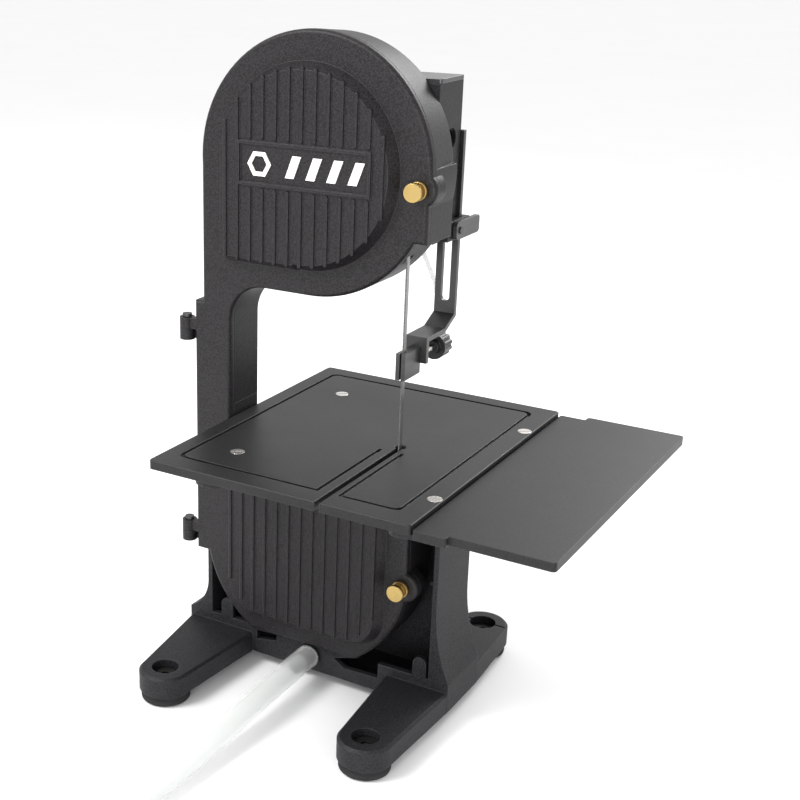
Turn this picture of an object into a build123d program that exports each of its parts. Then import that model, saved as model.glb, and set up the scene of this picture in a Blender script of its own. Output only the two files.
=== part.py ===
"""Bench-top wet band saw for lapidary work: C frame on a footed base, two wheels, table and water feed.

Frame: +Z up from the floor, +X towards the extension table, -Y towards the user.
The origin is on the floor at the centre of the four bench-bolt holes. Millimetres.
"""
from build123d import *
import math
import os

# ---- driving dimensions -----------------------------------------------------------------
floor_z = 0.0
pad_height = 9.0            # rubber foot pads
table_height = 215.0        # table top above the floor
bolt_span_x = 180.0         # bench-bolt pattern
bolt_span_y = 207.0
bench_bolt_d = 7.0

wheel_x = -13.0             # wheel centreline
face_y = -24.5              # outer face of the front cover
loop_length = 1067.0        # 42 inch blade loop
blade_radius = 75.0         # blade's path round each wheel
blade_width = 5.0
blade_thickness = 0.6
blade_y = face_y + 13.5     # middle of the blade's width
blade_gap = 0.3             # blade to tyre
upper_axle_z = table_height + 202.0
wheel_distance = (loop_length - 2 * math.pi * blade_radius) / 2
lower_axle_z = upper_axle_z - wheel_distance

wall = 3.2                  # moulded housings
cover_depth = 6.0           # rim of the front cover
cover_gap = 0.3             # cover to frame
frame_depth = 34.0          # C frame behind the cover
frame_front = face_y + cover_depth + cover_gap
frame_back = frame_front + frame_depth
back_plate = 4.0
draft_deg = 5.0

upper_cover_r = 95.0
cover_x = wheel_x + 1.5     # centre of the cover's arch
cover_z = upper_axle_z + 1.0
lower_cover_r = 91.0
column_left = -101.0        # from the wheel centreline
column_right = -68.0
step_z = table_height + 90.0
split_z = table_height + 9.0            # joint between the frame's two castings
cover_floor_z = table_height - 181.0
lower_top_z = table_height - 16.0
neck_z = table_height - 122.0
neck_fillet = 30.0
lug_right = 94.4
lug_low_z = upper_axle_z - 45.0
ear_x = 88.0
ear_r = 12.6
upper_ear_z = upper_axle_z - 7.0
lower_ear_z = lower_axle_z - 11.0

table_left = -66.5
table_width = 211.5
table_front = face_y - 109.0
table_depth = 264.0
table_thick = 7.0
table_corner = 3.0
slot_width = 4.0
slot_x = blade_radius + 0.0
extension_drop = 3.3
extension_gap = 0.8
extension_width = 96.0
tongue_width = 20.0
extension_setback = 6.0
rail_thick = 6.0

hinge_x = -110.0
hinge_y = face_y + 3.0
hinge_r = 6.0
hinge_pin_r = 2.4
fit_clearance = 0.05        # radial, shafts in bores
knuckle = 9.0
knuckle_gap = 0.4
upper_hinge_z = table_height + 66.0
lower_hinge_z = table_height - 108.0

base_left = -112.0          # plinth, from the wheel centreline
base_right = 128.0
base_front = frame_front
base_depth = 56.0
base_wall = 4.0
plinth_top_z = table_height - 181.7
arm_top_z = table_height - 189.0
wall_left = -94.0
wall_right = 115.0

bar_y = face_y + 80.0
bar_width = 17.0
bar_thick = 3.6
knob_r = 10.0

hose_od = 19.0
hose_wall = 2.5
tube_od = 4.6
tube_wall = 0.9


# ---- small helpers ----------------------------------------------------------------------
def block(x0, x1, y0, y1, z0, z1):
    return Pos((x0 + x1) / 2, (y0 + y1) / 2, (z0 + z1) / 2) * Box(x1 - x0, y1 - y0, z1 - z0)


def rod_y(x, z, y0, y1, r):
    return Pos(x, (y0 + y1) / 2, z) * Rot(90, 0, 0) * Cylinder(r, y1 - y0)


def rod_z(x, y, z0, z1, r):
    return Pos(x, y, (z0 + z1) / 2) * Cylinder(r, z1 - z0)


def rod_x(y, z, x0, x1, r):
    return Pos((x0 + x1) / 2, y, z) * Rot(0, 90, 0) * Cylinder(r, x1 - x0)


def tube_y(x, z, y0, y1, r_out, r_in):
    return rod_y(x, z, y0, y1, r_out) - rod_y(x, z, y0 - 1, y1 + 1, r_in)


def slab(outline, y0, y1):
    """Extrude an outline drawn in X and Z between two depths."""
    plane = Plane(origin=(0, y1, 0), x_dir=(1, 0, 0), z_dir=(0, -1, 0))
    return extrude(plane * outline, y1 - y0, dir=(0, -1, 0))


def plate(outline, z0, z1):
    return extrude(Pos(0, 0, z0) * outline, z1 - z0, dir=(0, 0, 1))


def rect(x0, x1, z0, z1):
    return Pos((x0 + x1) / 2, (z0 + z1) / 2) * Rectangle(x1 - x0, z1 - z0)


def disc(x, z, r):
    return Pos(x, z) * Circle(r)


def rounded(x0, x1, z0, z1, r):
    return Pos((x0 + x1) / 2, (z0 + z1) / 2) * RectangleRounded(x1 - x0, z1 - z0, r)


def wx(value):
    """X of a size counted from the wheel centreline."""
    return wheel_x + value


def group(solids):
    return Compound(children=list(solids))


def hex_nut_y(x, z, y0, y1, across, hole_r):
    body = slab(Pos(x, z) * RegularPolygon(across / 2, 6, major_radius=False), y0, y1)
    return body - rod_y(x, z, y0 - 1, y1 + 1, hole_r)


# ---- the C outline shared by the front cover and both frame castings ------------------------
def upper_outline():
    shape = disc(cover_x, cover_z, upper_cover_r)
    shape += rect(cover_x - upper_cover_r + 0.2, wx(column_right), step_z - 5, cover_z + 3)
    shape += rect(wx(60), wx(lug_right), lug_low_z, upper_axle_z - 10)
    return shape + neck_web()


def neck_web():
    """Web under the upper housing, with a hollow corner where it runs into the column."""
    low = cover_z - upper_cover_r
    left, side = wx(column_right), neck_fillet
    web = rect(left - 1, cover_x, low, cover_z - 60)
    corner = rect(left - 1, left + side, low - side, low + 1)
    return web + corner - disc(left + side, low - side, side)


def column_outline():
    return rect(wx(column_left), wx(column_right), neck_z + 4, step_z)


def lower_outline():
    shape = disc(wheel_x, lower_axle_z - 8, lower_cover_r)
    shape += rect(wx(column_left), wx(lower_cover_r), lower_axle_z - 8, lower_top_z)
    shape += rect(wx(column_left), wx(-60), neck_z, lower_top_z)
    return shape & rect(wx(-120), wx(120), cover_floor_z, lower_top_z)


def cover_outline():
    shape = upper_outline() + column_outline() + lower_outline()
    for z in (upper_ear_z, lower_ear_z):
        shape += disc(wx(ear_x), z, ear_r)
    return shape


def field_upper(grow):
    r = upper_cover_r - 20.0 + grow
    z0 = upper_axle_z - 76.0 - grow
    shape = disc(wx(-1.5), upper_axle_z, r)
    shape += rounded(wx(-1.5) - r, wx(0), z0, upper_axle_z + 5, 9)
    return shape


def field_lower(grow):
    side = 71.0 + grow
    low = cover_floor_z + 15.0 - grow
    body = rounded(wx(3) - side, wx(3) + side, low, low + 80, 26)
    return body + rect(wx(3) - side, wx(3) + side, low + 40, lower_top_z - 6 + grow)


# ---- front cover ------------------------------------------------------------------------------
rib_pitch = 10.8
rib_count = 13
rib_width = 3.0
rib_proud = 1.7
rib_round = 0.9
rim_round = 3.0
field_proud = 8.6
field_taper = 32.0
label_half_w = 55.0
label_low = upper_axle_z - 15.0
label_high = upper_axle_z + 17.0
label_frame = 2.2
field_y = face_y - field_proud
screw_stem_r = 2.5


def tapered_field(outline, y_back, height, taper):
    plane = Plane(origin=(0, y_back, 0), x_dir=(1, 0, 0), z_dir=(0, -1, 0))
    return extrude(plane * outline, height, taper=taper)


def rib(x, z0, z1):
    """One upright rib with rounded ends."""
    bar = Pos(x, (z0 + z1) / 2) * SlotOverall(z1 - z0, rib_width, rotation=90)
    bar = slab(bar, field_y - rib_proud, field_y + 0.5)
    return fillet(bar.faces().sort_by(Axis.Y)[0].edges(), rib_round)


def upper_ribs():
    ribs = []
    reach = upper_cover_r - 23.5
    for i in range(rib_count):
        x = -66.0 + i * rib_pitch
        half = math.sqrt(max(reach ** 2 - (x + 1.5) ** 2, 0))
        top = upper_axle_z + half
        low = upper_axle_z - (half if x > 0 else 72.0 - 1.5 * (i == 0))
        low = max(low, upper_axle_z - 72.0)
        if abs(x) > label_half_w:
            ribs.append(rib(wx(x), low, top))
        else:
            ribs.append(rib(wx(x), low, label_low - 1.5))
            ribs.append(rib(wx(x), label_high + 1.5, top))
    return ribs


def lower_ribs():
    ribs = []
    low = cover_floor_z + 19.6
    for i in range(rib_count):
        x = -61.6 + i * rib_pitch
        edge = min(i, rib_count - 1 - i)
        rise = (25.0, 8.6, 1.8)[edge] if edge < 3 else 0.0
        ribs.append(rib(wx(x), low + rise, lower_top_z - 12))
    return ribs


def label_border():
    outer = rect(wx(-label_half_w), wx(label_half_w), label_low, label_high)
    inner = rect(wx(-label_half_w) + label_frame, wx(label_half_w) - label_frame,
                 label_low + label_frame, label_high - label_frame)
    return slab(outer - inner, field_y - rib_proud, field_y + 0.5)


def cover_knuckle(z):
    barrel = rod_z(wx(hinge_x), hinge_y, z + knuckle_gap / 2, z + knuckle, hinge_r)
    leaf = block(wx(hinge_x), wx(column_left) + 3, face_y, face_y + cover_depth, z + knuckle_gap / 2,
                 z + knuckle)
    bore = rod_z(wx(hinge_x), hinge_y, z - 1, z + knuckle + 1, hinge_pin_r + fit_clearance)
    return barrel + leaf - bore


def frame_knuckle(z):
    barrel = rod_z(wx(hinge_x), hinge_y, z - knuckle, z - knuckle_gap / 2, hinge_r)
    leaf = block(wx(hinge_x) - 3, wx(column_left) + 2, frame_front, frame_front + 6, z - knuckle,
                 z - knuckle_gap / 2)
    bore = rod_z(wx(hinge_x), hinge_y, z - knuckle - 1, z, hinge_pin_r)
    return barrel + leaf - bore


def front_cover():
    outline = cover_outline()
    shell = slab(outline, face_y, face_y + cover_depth)
    shell = fillet(shell.faces().sort_by(Axis.Y)[0].edges(), rim_round)
    shell -= slab(offset(outline, -wall), face_y + wall, face_y + cover_depth + 1)
    for field in (field_upper, field_lower):
        shell += tapered_field(field(0), face_y + 0.5, field_proud + 0.5, field_taper)
        shell -= tapered_field(field(-4), face_y + wall + 1, field_proud + 1, field_taper)
    for z in (upper_ear_z, lower_ear_z):
        shell += rod_y(wx(ear_x), z, face_y, face_y + cover_depth, screw_stem_r + 4)
        shell -= rod_y(wx(ear_x), z, face_y - 1, face_y + cover_depth + 1, screw_stem_r + 0.3)
    shell += label_border()
    for piece in upper_ribs() + lower_ribs():
        shell += piece
    for z in (upper_hinge_z, lower_hinge_z):
        shell += cover_knuckle(z)
    return shell


def cover_badge():
    """Plain emblem: an open faceted stone beside four slanting bars."""
    mid = (label_low + label_high) / 2
    gem = Pos(wx(-36), mid) * RegularPolygon(10, 6)
    gem -= Pos(wx(-36), mid) * RegularPolygon(6.5, 6)
    pieces = [gem]
    for i in range(4):
        x = wx(-14 + 17 * i)
        pieces.append(Polygon((x, mid - 8), (x + 7, mid - 8), (x + 13, mid + 8), (x + 6, mid + 8),
                              align=None))
    return group(slab(p, field_y - 0.9, field_y) for p in pieces)


def hinge_pins():
    pins = []
    for z in (upper_hinge_z, lower_hinge_z):
        shank = rod_z(wx(hinge_x), hinge_y, z - knuckle + 0.5, z + knuckle + 0.3, hinge_pin_r)
        head = rod_z(wx(hinge_x), hinge_y, z + knuckle + 0.3, z + knuckle + 2.6, hinge_pin_r + 1.4)
        pins.append(shank + head)
    return group(pins + [lever_pin()])


def thumb_screw(z):
    x = wx(ear_x)
    screw = rod_y(x, z, face_y - 12.0, face_y - 8.6, 6.4)
    screw += rod_y(x, z, face_y - 9.0, face_y - 4.0, 4.2)
    screw += rod_y(x, z, face_y - 4.4, face_y - 0.3, 6.4)
    screw += rod_y(x, z, face_y - 0.5, face_y + 14.0, screw_stem_r)
    return screw


# ---- C frame --------------------------------------------------------------------------------
shroud_right = 81.0
shroud_left = 28.0
shroud_wall = 3.0
shroud_back = face_y + 77.6
shroud_low = table_height + 164.0
tank_floor = table_height + 232.0
shroud_top = table_height + 262.0
bracket_front = face_y + 52.0
bracket_low = table_height + 149.0
carriage_half = 14.0
rail_gap = 0.3
carriage_y0 = frame_back + 0.3
carriage_y1 = carriage_y0 + 18.0
axle_r = 5.0
tension_y = frame_back + 12.0
tension_rod_r = 3.0
lug_z0 = upper_axle_z + 30.0
lug_z1 = lug_z0 + 8.0
ear_depth = 9.0
flank_depth = 14.0


def draft_ring():
    """What a moulding draft takes off the top of the upper housing."""
    shrink = frame_depth * math.tan(math.radians(draft_deg))
    cone = Pos(cover_x, (frame_front + frame_back) / 2, cover_z) * Rot(-90, 0, 0) * Cone(
        upper_cover_r, upper_cover_r - shrink, frame_depth)
    span = upper_cover_r + 20
    top = block(cover_x - span, cover_x + span, frame_front, frame_back, cover_z + 6, cover_z + span)
    return top - cone


def ear(z):
    """Short lug on the frame behind a thumb screw."""
    return rod_y(wx(ear_x), z, frame_front, frame_front + ear_depth, ear_r)


def boss(z):
    return rod_y(wx(ear_x), z, frame_front, frame_front + ear_depth, 7.0)


def boss_bore(z):
    return rod_y(wx(ear_x), z, frame_front - 1, frame_front + ear_depth + 1, screw_stem_r + 1.0)


def shroud():
    """Housing for the water tank, behind the upper wheel and flush with its right side."""
    x0, x1 = wx(shroud_left), wx(shroud_right)
    y0 = frame_back - 0.5
    outer = block(x0, x1, y0, shroud_back, shroud_low, shroud_top)
    flank = Pos(cover_x, frame_back + flank_depth / 2, cover_z) * Rot(-90, 0, 0) * Cone(
        upper_cover_r - 4, upper_cover_r - 16, flank_depth)
    flank &= block(wx(70), wx(130), y0, shroud_back, shroud_low, upper_axle_z + 42)
    inner = block(x0 + shroud_wall, x1 - shroud_wall, frame_back, shroud_back + 1, shroud_low - 1,
                  tank_floor - shroud_wall)
    tank = block(x0 + shroud_wall, x1 - shroud_wall, frame_back + 2, shroud_back - shroud_wall,
                 tank_floor, shroud_top + 1)
    outlet = rod_z(valve_x, valve_y, tank_floor - shroud_wall - 1, tank_floor + 1, 4.3)
    return outer + flank - inner - tank - outlet


def teardrop():
    """Finger window through the side of the shroud."""
    y, z = face_y + 62.0, table_height + 222.0
    round_end = Pos(y, z) * Circle(7.5)
    tip = Polygon((y - 7.0, z - 2.8), (y + 7.0, z - 2.8), (y + 5.5, z - 24), (y + 3.5, z - 24),
                  align=None)
    return extrude(Plane.YZ.offset(wx(shroud_right) - 12) * (round_end + tip), 40)


def carriage_rails():
    rails = []
    for side in (-1, 1):
        a = wheel_x + side * (carriage_half + rail_gap)
        b = wheel_x + side * (carriage_half + rail_gap + 7)
        rails.append(block(min(a, b), max(a, b), frame_back - 0.5, carriage_y1 + 0.3,
                           upper_axle_z - 26, upper_axle_z + 26))
    lug = block(wheel_x - 12, wheel_x + 12, frame_back - 0.5, tension_y + 10, lug_z0, lug_z1)
    lug -= rod_z(wheel_x, tension_y, lug_z0 - 1, lug_z1 + 1, tension_rod_r + 0.3)
    return rails + [lug]


def upper_frame():
    keep = rect(wx(-200), wx(200), split_z, upper_axle_z + 200)
    outline = (upper_outline() + column_outline()) & keep
    shell = slab(outline, frame_front, frame_back) - draft_ring() + ear(upper_ear_z)
    inner = offset(upper_outline() + column_outline(), -wall)
    cavity = slab(inner & rect(wx(-200), wx(200), split_z - 20, upper_axle_z + upper_cover_r - 6.5),
                  frame_front - 1, frame_back - back_plate)
    shell -= cavity
    shell += shroud()
    arm = block(wx(shroud_right) - 21, wx(shroud_right), frame_back - 0.5, bracket_front,
                bracket_low, shroud_low + 1)
    shell += arm
    for piece in carriage_rails() + [boss(upper_ear_z)]:
        shell += piece
    shell += frame_knuckle(upper_hinge_z)
    shell -= boss_bore(upper_ear_z)
    shell -= teardrop()
    shell -= slab(rounded(wx(-6), wx(6), upper_axle_z - 14, upper_axle_z + 8, 5),
                  frame_back - back_plate - 1, frame_back + 1)
    blade_slot = block(wx(blade_radius) - 2.4, wx(blade_radius) + 2.4, blade_y - 5.5, blade_y + 5.5,
                       upper_axle_z - upper_cover_r, upper_axle_z - 35)
    shell -= blade_slot
    for x, z in splice_points():
        if z > split_z:
            shell -= rod_y(x, z, frame_back - back_plate - 1, frame_back + 1, 2.1)
    return shell


def splice_points():
    mid = wx((column_left + column_right) / 2)
    return [(mid, split_z + dz) for dz in (-16, 16)]


def frame_screw_points():
    return [(wx(sx * 62), z) for sx in (-1, 1) for z in (lower_axle_z - 48, lower_axle_z + 52)]


hub_r = 17.0
lower_shaft_r = 6.0
lower_bearing_r = 13.0
bearing_w = 8.0
hub_y0 = blade_y + 12.5
hub_y1 = hub_y0 + 28.0


def lower_housing():
    keep = rect(wx(-200), wx(200), cover_floor_z, split_z)
    full = lower_outline() + rect(wx(column_left), wx(column_right), neck_z + 4, split_z + 20)
    shell = slab(full & keep, frame_front, frame_back) + ear(lower_ear_z)
    inner = offset(full, -wall)
    shell -= slab(inner, frame_front - 1, frame_back - back_plate)
    shell += rod_y(wheel_x, lower_axle_z, hub_y0, hub_y1, hub_r)
    shell -= rod_y(wheel_x, lower_axle_z, hub_y0 - 1, hub_y1 + 1, lower_bearing_r)
    shell += boss(lower_ear_z)
    shell -= boss_bore(lower_ear_z)
    shell += frame_knuckle(lower_hinge_z)
    shell -= block(wx(blade_radius) - 2.4, wx(blade_radius) + 2.4, blade_y - 5.5, blade_y + 5.5,
                   lower_top_z - 8, lower_top_z + 1)
    for x, z in splice_points():
        if z < split_z:
            shell -= rod_y(x, z, frame_back - back_plate - 1, frame_back + 1, 2.1)
    for x, z in frame_screw_points():
        shell -= rod_y(x, z, frame_back - back_plate - 1, frame_back + 1, 2.5)
    shell -= rod_y(wx(30), cover_floor_z + 9, frame_back - back_plate - 1, frame_back + 1, 4)
    return shell


def column_splice():
    """Plate inside the column that ties the two castings together."""
    y1 = frame_back - back_plate
    bar = block(wx(column_left) + 8, wx(column_right) - 8, y1 - 4, y1, split_z - 26, split_z + 26)
    for x, z in splice_points():
        bar -= rod_y(x, z, y1 - 5, y1 + 1, 2.0)
    return bar


def cap_screw_y(x, z, y_tip, y_seat, r):
    """Socket screw along Y with its head behind y_seat."""
    screw = rod_y(x, z, y_tip, y_seat, r) + rod_y(x, z, y_seat, y_seat + r * 1.6, r * 1.8)
    socket = slab(Pos(x, z) * RegularPolygon(r * 0.9, 6), y_seat + r * 0.6, y_seat + r * 1.6 + 1)
    return screw - socket


def frame_screws():
    """Splice screws, base screws, carriage-cover screws and the bracket's studs."""
    plate_y = frame_back - back_plate
    cover_y = carriage_y1 + 2.8
    screws = [cap_screw_y(x, z, plate_y - 3.5, frame_back, 2.0) for x, z in splice_points()]
    screws += [cap_screw_y(x, z, plate_y + 0.5, base_front + base_depth, 2.5)
               for x, z in frame_screw_points()]
    screws += [cap_screw_y(x, z, cover_y - 2.5, cover_y, 1.6) for x, z in carriage_screw_points()]
    screws += [rod_y(x, bracket_low + 7, bracket_front, bracket_front + 8.5, 1.8)
               for x in bracket_screw_xs()]
    return group(screws)


# ---- base ------------------------------------------------------------------------------------
arm_r = 21.0
arm_edge = 2.0
pad_r = 19.5
window_depth = 6.0
counterbore_r = 10.8
counterbore_depth = 8.0
stem_r = 6.0
spout_x = wx(6.0)
spout_z = pad_height + 13.5
spout_bore = 4.2
right_wall_top = table_height - table_thick - rail_thick


def bolt_points():
    return [(sx * bolt_span_x / 2, sy * bolt_span_y / 2) for sx in (-1, 1) for sy in (-1, 1)]


def side_profile():
    """Front view of the base: plinth, two side walls and their flared feet."""
    low = pad_height
    shape = rect(wx(base_left), wx(base_right), low, plinth_top_z)
    shape += rect(wx(wall_left), wx(wall_right), plinth_top_z - 1, right_wall_top)
    left_r, right_r = 32.0, 145.0
    flare = rect(wx(base_left), wx(wall_left) + 1, plinth_top_z - 3, plinth_top_z + 29)
    shape += flare - disc(wx(wall_left) - left_r, plinth_top_z + 29, left_r)
    flare = rect(wx(wall_right) - 1, wx(base_right), plinth_top_z - 3, plinth_top_z + 60)
    shape += flare - disc(wx(wall_right) + right_r, plinth_top_z + 60, right_r)
    return shape


def foot_arm(sx, sy):
    """Arm from a plinth corner to one bolt position, in plan."""
    bx, by = sx * bolt_span_x / 2, sy * bolt_span_y / 2
    root_y = base_front + 4 if sy < 0 else base_front + base_depth - 3
    edges = (wx(base_left), wx(-49.0)) if sx < 0 else (wx(74.0), wx(base_right))
    shape = Polygon((edges[0], root_y), (bx - arm_r, by), (bx + arm_r, by), (edges[1], root_y),
                    align=None)
    return shape + Pos(bx, by) * Circle(arm_r)


def base():
    back = base_front + base_depth
    body = slab(side_profile(), base_front, back)
    inner = rect(wx(wall_left) + base_wall, wx(wall_right) - base_wall, plinth_top_z,
                 right_wall_top + 1)
    body -= slab(inner, base_front - 1, back - base_wall)
    sump = rect(wx(wall_left) + base_wall, wx(wall_right) - base_wall, pad_height + 4, plinth_top_z + 1)
    body -= slab(sump, base_front + base_wall + 1, back - base_wall)
    body -= block(wx(column_left) - 1, wx(wall_left) + base_wall + 1, base_front - 1, frame_back + 0.4,
                  neck_z - 0.3, right_wall_top + 1)
    for sx in (-1, 1):
        for sy in (-1, 1):
            arm = plate(foot_arm(sx, sy), pad_height, arm_top_z)
            body += chamfer(arm.faces().sort_by(Axis.Z)[-1].edges(), arm_edge)
    for x, y in bolt_points():
        body -= rod_z(x, y, arm_top_z - counterbore_depth, arm_top_z + 1, counterbore_r)
        body -= rod_z(x, y, pad_height - 1, arm_top_z, stem_r)
    body += base_details(back)
    for window in plinth_windows():
        body -= slab(window, base_front - 1, base_front + window_depth)
    body -= rod_y(spout_x, spout_z, base_front - 1, base_front + base_wall + 2, spout_bore)
    body -= rod_y(wheel_x, lower_axle_z, back - base_wall - 1, back + 1, lower_shaft_r + 4)
    for x, z in frame_screw_points():
        body -= rod_y(x, z, frame_back - 1, back + 1, 2.5)
    for x, z in post_points():
        body -= rod_y(x, z, back - base_wall - 1, back + 1, 2.0)
    for x, z in tab_points():
        body -= rod_y(x, z, back - base_wall - 1, back + 1, 1.8)
    return body


def plinth_windows():
    """Two drain windows through the front of the plinth, the right one open at its top."""
    low = Polygon((wx(-45.5), 29.5), (wx(-45.5), 21.3), (wx(-26.3), 25.0), (wx(-26.3), 30.5), align=None)
    high = Polygon((wx(27.3), 25.8), (wx(37.5), 19.6), (wx(67.6), 20.5), (wx(67.6), plinth_top_z + 1),
                   (wx(54.3), plinth_top_z + 1), align=None)
    return low, high


def base_details(back):
    """Front tabs, the inner ledge and the standoffs that carry the frame."""
    shape = None
    for x in (-75.0, 103.0):
        tab = rect(wx(x) - 5.6, wx(x) + 5.6, plinth_top_z - 2, plinth_top_z + 11)
        tab += disc(wx(x), plinth_top_z + 11, 5.6)
        piece = slab(tab, base_front, base_front + base_wall)
        shape = piece if shape is None else shape + piece
    shape += block(wx(lower_cover_r) + 12, wx(wall_right) - 2, base_front + 12, back - 2,
                   lower_axle_z - 12, lower_axle_z - 9)
    for x, z in frame_screw_points():
        shape += rod_y(x, z, frame_back, back - 2, 6.5)
    return shape


def foot_pads():
    pads = []
    for x, y in bolt_points():
        pad = rod_z(x, y, floor_z, pad_height, pad_r)
        pad += rod_z(x, y, pad_height - 1, arm_top_z - counterbore_depth, stem_r)
        pads.append(pad - rod_z(x, y, floor_z - 1, arm_top_z, bench_bolt_d / 2))
    return group(pads)


def foot_washers():
    z0 = arm_top_z - counterbore_depth
    return group(rod_z(x, y, z0, z0 + 1.6, 9.4) - rod_z(x, y, z0 - 1, z0 + 3, bench_bolt_d / 2)
                 for x, y in bolt_points())


def drain_spout():
    y = base_front
    spout = rod_y(spout_x, spout_z, y - 3, y, 9.5)
    spout += rod_y(spout_x, spout_z, y - 16, y - 2, hose_od / 2 - hose_wall)
    spout += rod_y(spout_x, spout_z, y - 24, y - 15, 5.4)
    spout += rod_y(spout_x, spout_z, y - 1, y + base_wall + 1, spout_bore)
    return spout - rod_y(spout_x, spout_z, y - 25, y + base_wall + 2, spout_bore - 1.2)


# ---- cords: straight runs joined by tangent arcs ---------------------------------------------
def corner_radii(points):
    radii = []
    for a, b, c in zip(points, points[1:], points[2:]):
        before, after = Vector(*b) - Vector(*a), Vector(*c) - Vector(*b)
        half_turn = math.radians(before.get_angle(after)) / 2
        radii.append(0.45 * min(before.length, after.length) / math.tan(half_turn))
    return radii


def cord(name, points, outer_r, inner_r):
    radii = corner_radii(points)
    path = FilletPolyline(*points, radius=radii)
    start = Plane(origin=path @ 0, z_dir=path % 0)
    tube = sweep(start * (Circle(outer_r) - Circle(inner_r)), path=path)
    section = math.pi * (outer_r ** 2 - inner_r ** 2)
    print(name, "radii", [round(r, 1) for r in radii], "length", round(path.length, 1),
          "volume ratio", round(tube.volume / (section * path.length), 4))
    return tube


def drain_hose():
    x, y, z = spout_x, base_front - 3.2, spout_z
    rest = hose_od / 2 + 0.1
    points = [(x, y, z), (x, y - 60, z), (x - 3, y - 135, z - 9), (x - 7, y - 220, rest),
              (x - 7, y - 310, rest), (x + 6, y - 400, rest), (x + 30, y - 485, rest)]
    return cord("drain_hose", points, hose_od / 2, hose_od / 2 - hose_wall)


valve_x = wx(45.0)
valve_y = face_y + 60.0
valve_low = table_height + 206.0


def drip_tube():
    t = table_height
    points = [(valve_x, valve_y, valve_low), (valve_x, valve_y, t + 182),
              (valve_x + 2, valve_y + 13, t + 156), (valve_x + 8, valve_y + 25, t + 130),
              (valve_x + 17, valve_y + 29.5, t + 106), (valve_x + 23, valve_y + 30, t + 86)]
    return cord("drip_tube", points, tube_od / 2, tube_od / 2 - tube_wall)


# ---- table ----------------------------------------------------------------------------------------
table_bottom = table_height - table_thick
screw_rows = (face_y - 60.0, face_y + 97.0)
screw_cols = (wx(-21.0), wx(139.0))
table_right = table_left + table_width
tongue_left = table_right + extension_gap
tongue_right = tongue_left + tongue_width
extension_right = tongue_left + extension_width
extension_top = table_height - extension_drop
extension_thick = 6.4


def plan(x0, x1, y0, y1, r):
    return Pos((x0 + x1) / 2, (y0 + y1) / 2) * RectangleRounded(x1 - x0, y1 - y0, r)


def water_groove():
    """Shallow channel round the cutting area, turned in along both sides of the blade slot."""
    width = 3.0
    x0, x1 = wx(-53.5), wx(129.0)
    y0, y1 = table_front + 17.5, table_front + table_depth - 14.5
    ring = plan(x0, x1, y0, y1, 7) - plan(x0 + width, x1 - width, y0 + width, y1 - width, 5)
    left, right = wx(slot_x) - 9.0, wx(slot_x) + 6.0
    ring -= plan(left, right + 0.0, y0 - 3, y0 + width + 3, 0.5)
    end = blade_y - 10
    ring += plan(left - width, left, y0, end, 1) + plan(right, right + width, y0, end, 1)
    return plate(ring, table_height - 2.2, table_height + 1)


def table():
    x0, x1 = wx(table_left), wx(table_right)
    y1 = table_front + table_depth
    top = plate(plan(x0, x1, table_front, y1, table_corner), table_bottom, table_height)
    sx = wx(slot_x)
    slot = block(sx - slot_width / 2, sx + slot_width / 2, table_front - 1, blade_y + 6,
                 table_bottom - 1, table_height + 1)
    top -= slot + rod_z(sx, blade_y + 1, table_bottom - 1, table_height + 1, slot_width)
    top -= water_groove()
    for x in screw_cols:
        for y in screw_rows:
            top -= rod_z(x, y, table_height - 1.8, table_height + 1, 5.4)
            top -= rod_z(x, y, table_bottom - 1, table_height, 2.3)
    return chamfer(top.faces().sort_by(Axis.Z)[-1].outer_wire().edges(), 0.5)


def table_screws():
    screws = []
    for x in screw_cols:
        for y in screw_rows:
            screw = rod_z(x, y, table_height - 1.8, table_height + 0.2, 5.2)
            screw += rod_z(x, y, table_bottom - rail_thick, table_height - 1.5, 2.2)
            screw -= Pos(x, y, table_height) * Rot(0, 0, 35) * Box(12, 1.3, 1.6)
            screws.append(screw)
    return group(screws)


def extension_table():
    x0, x1, x2 = wx(tongue_left), wx(tongue_right), wx(extension_right)
    y0, y1 = table_front, table_front + table_depth
    back = y1 + 8.0
    shape = plan(x0, x1 + 4, y0 + 1, y1 + 1, 1.5)
    shape += plan(x1, x2, y0 + extension_setback, back, table_corner)
    low = extension_top - extension_thick
    top = plate(shape, low, extension_top)
    for y in screw_rows:
        top -= rod_z((x0 + x1) / 2, y, low - 1, low + 4, 2.0)
    return top


def extension_screws():
    low = extension_top - extension_thick
    x = wx((tongue_left + tongue_right) / 2)
    under = low - ledge_thick
    return group(rod_z(x, y, under - 2.4, under, 4.0) + rod_z(x, y, under - 0.2, low + 3.8, 2.0)
                 for y in screw_rows)


ledge_thick = 3.4


def table_frame():
    """Two rails under the table, tied by cross bars to the column and the base."""
    z0, z1 = table_bottom - rail_thick, table_bottom
    y0, y1 = table_front + 5, table_front + table_depth - 14
    shape = plan(wx(-34), wx(-8), y0, y1, 12)
    shape += plan(wx(124), wx(table_right) - 0.5, y0, y1, 8)
    shape += plan(wx(column_right) + 0.1, wx(130), frame_back - 6, frame_back + 12, 1)
    shape += plan(wx(-30), wx(130), y1 - 26, y1 - 8, 1)
    frame = plate(shape, z0, z1)
    ledge_top = extension_top - extension_thick
    frame += block(wx(table_right) - 8, wx(tongue_right) - 1, y0 + 2, y1 - 2, ledge_top - ledge_thick,
                   ledge_top)
    for x in screw_cols:
        for y in screw_rows:
            frame -= rod_z(x, y, z0 - 1, z1 + 1, 2.2)
    x = wx((tongue_left + tongue_right) / 2)
    for y in screw_rows:
        frame -= rod_z(x, y, z0 - 3, z1 + 1, 2.0)
    return frame


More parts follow.
